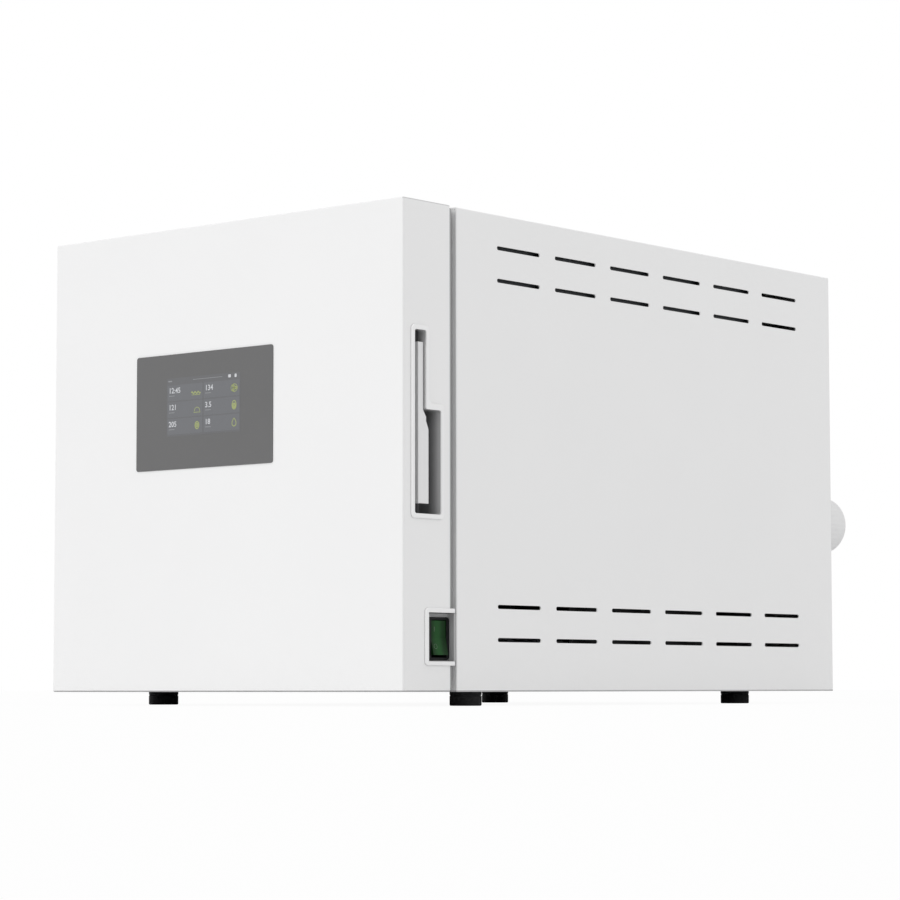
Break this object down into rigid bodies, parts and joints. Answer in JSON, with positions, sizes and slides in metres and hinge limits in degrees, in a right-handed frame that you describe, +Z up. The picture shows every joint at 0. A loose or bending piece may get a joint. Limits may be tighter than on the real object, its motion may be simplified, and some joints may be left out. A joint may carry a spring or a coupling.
{
  "type": "bench autoclave",
  "caption": "Bench steam autoclave: white sheet cabinet with a side-hinged door, flap handle, touch display, slotted sides and a round chamber with trays.",
  "frame": {"origin": "on the bench under the middle of the whole, door and rear filter included", "axes": "+X to the right seen from the door, +Y to the rear, +Z up"},
  "size_m": [0.4468, 0.7118, 0.4467],
  "materials": {
    "white_paint": "satin powder coat",
    "galvanised_steel": "satin",
    "stainless": "brushed",
    "bright_steel": "polished",
    "liner_plastic": "fine grain",
    "rim_plastic": "satin",
    "panel_gloss": "semi-gloss",
    "module_black": "matt",
    "board_green": "matt",
    "silicone": "satin",
    "foot_rubber": "matt",
    "switch_black": "satin",
    "rocker_green": "gloss",
    "insulation_wool": "matt",
    "tank_plastic": "translucent white",
    "filter_white": "satin",
    "brass": "satin",
    "copper": "satin",
    "alloy": "satin",
    "red_plastic": "gloss"
  },
  "bodies": {
    "cabinet": {"outer_cover": "white_paint", "base_tray": "galvanised_steel", "feet": "foot_rubber", "front_frame": "white_paint", "hinge_bracket": "galvanised_steel", "catch_housing": "galvanised_steel", "lock_solenoid": "module_black", "switch_carrier": "liner_plastic", "power_switch": "switch_black", "chamber": "stainless", "heating_band": "silicone", "insulation": "insulation_wool", "chamber_cradles": "galvanised_steel", "tray_rack": "stainless", "trays": "stainless", "tank_shelf": "galvanised_steel", "clean_water_tank": "tank_plastic", "used_water_tank": "tank_plastic", "rear_panel": "white_paint", "filter_socket": "liner_plastic", "fan_frame": "module_black", "condenser": "alloy", "steam_generator": "stainless", "vacuum_pump": "alloy", "water_pump": "module_black", "power_supply": "alloy", "valve_block": "brass", "board_carrier": "galvanised_steel", "control_board": "board_green", "mains_inlet": "module_black", "cutout_bush": "module_black", "safety_valve": "brass", "drain_valves": "brass", "steam_lines": "copper"},
    "door": {"door_shell": "white_paint", "door_liner": "liner_plastic", "door_bridge": "galvanised_steel", "hinge_pins": "bright_steel", "pressure_plate": "stainless", "door_gasket": "silicone", "display_panel": "panel_gloss", "display_module": "module_black", "display_board": "board_green", "display_bracket": "galvanised_steel", "handle_housing": "rim_plastic", "handle_pin": "bright_steel", "catch_tongue": "bright_steel", "switch_surround": "rim_plastic"},
    "handle": {"handle_lever": "rim_plastic"},
    "plunger": {"release_plunger": "bright_steel"},
    "roller_lower": {"catch_roller_lower": "bright_steel"},
    "roller_upper": {"catch_roller_upper": "bright_steel"},
    "bolt": {"lock_bolt": "bright_steel"},
    "rocker": {"power_rocker": "rocker_green"},
    "lid": {"filler_lid": "rim_plastic"},
    "filter": {"air_filter": "filter_white"},
    "rotor": {"fan_rotor": "module_black"},
    "button": {"reset_button": "red_plastic"},
    "knob_clean": {"drain_knob_clean": "module_black"},
    "knob_used": {"drain_knob_used": "module_black"}
  },
  "joints": [
    {"name": "door_hinge", "type": "hinge", "parent": "cabinet", "child": "door", "pos_m": [-0.2114, -0.30505, 0.2175], "axis": [0, 0, -1], "range_deg": [0, 110]},
    {"name": "handle_pull", "type": "hinge", "parent": "door", "child": "handle", "pos_m": [0.2151, -0.33105, 0.2465], "axis": [0, 0, -1], "range_deg": [0, 35], "stiffness_Nm_per_rad": 0.15},
    {"name": "plunger_push", "type": "slide", "parent": "door", "child": "plunger", "axis": [0, 1, 0], "range_m": [0, 0.0063]},
    {"name": "catch_roll_lower", "type": "hinge", "parent": "cabinet", "child": "roller_lower", "pos_m": [0.1876, -0.27455, 0.1207], "axis": [1, 0, 0], "continuous": true},
    {"name": "catch_roll_upper", "type": "hinge", "parent": "cabinet", "child": "roller_upper", "pos_m": [0.1876, -0.27455, 0.1343], "axis": [1, 0, 0], "continuous": true},
    {"name": "lock_slide", "type": "slide", "parent": "cabinet", "child": "bolt", "axis": [0, 0, 1], "range_m": [0, 0.008]},
    {"name": "power_rock", "type": "hinge", "parent": "cabinet", "child": "rocker", "pos_m": [0.21, -0.30155, 0.0589], "axis": [0, 1, 0], "range_deg": [0, 12]},
    {"name": "filler_lid_hinge", "type": "hinge", "parent": "cabinet", "child": "lid", "pos_m": [-0.11215, -0.08415, 0.4441], "axis": [-1, 0, 0], "range_deg": [0, 95]},
    {"name": "filter_pull", "type": "slide", "parent": "cabinet", "child": "filter", "axis": [0, 1, 0], "range_m": [0, 0.04]},
    {"name": "fan_spin", "type": "hinge", "parent": "cabinet", "child": "rotor", "pos_m": [-0.0009, 0.30085, 0.2825], "axis": [0, 1, 0], "continuous": true},
    {"name": "reset_press", "type": "slide", "parent": "cabinet", "child": "button", "axis": [0, -1, 0], "range_m": [0, 0.003], "stiffness_N_per_m": 300},
    {"name": "drain_turn_clean", "type": "hinge", "parent": "cabinet", "child": "knob_clean", "pos_m": [-0.0509, 0.32835, 0.0705], "axis": [0, 0, 1], "range_deg": [0, 90]},
    {"name": "drain_turn_used", "type": "hinge", "parent": "cabinet", "child": "knob_used", "pos_m": [-0.0009, 0.32835, 0.0705], "axis": [0, 0, 1], "range_deg": [0, 90]}
  ],
  "couplings": [
    {"joint": "plunger_push", "follows": "handle_pull", "m_per_rad": 0.0098}
  ]
}
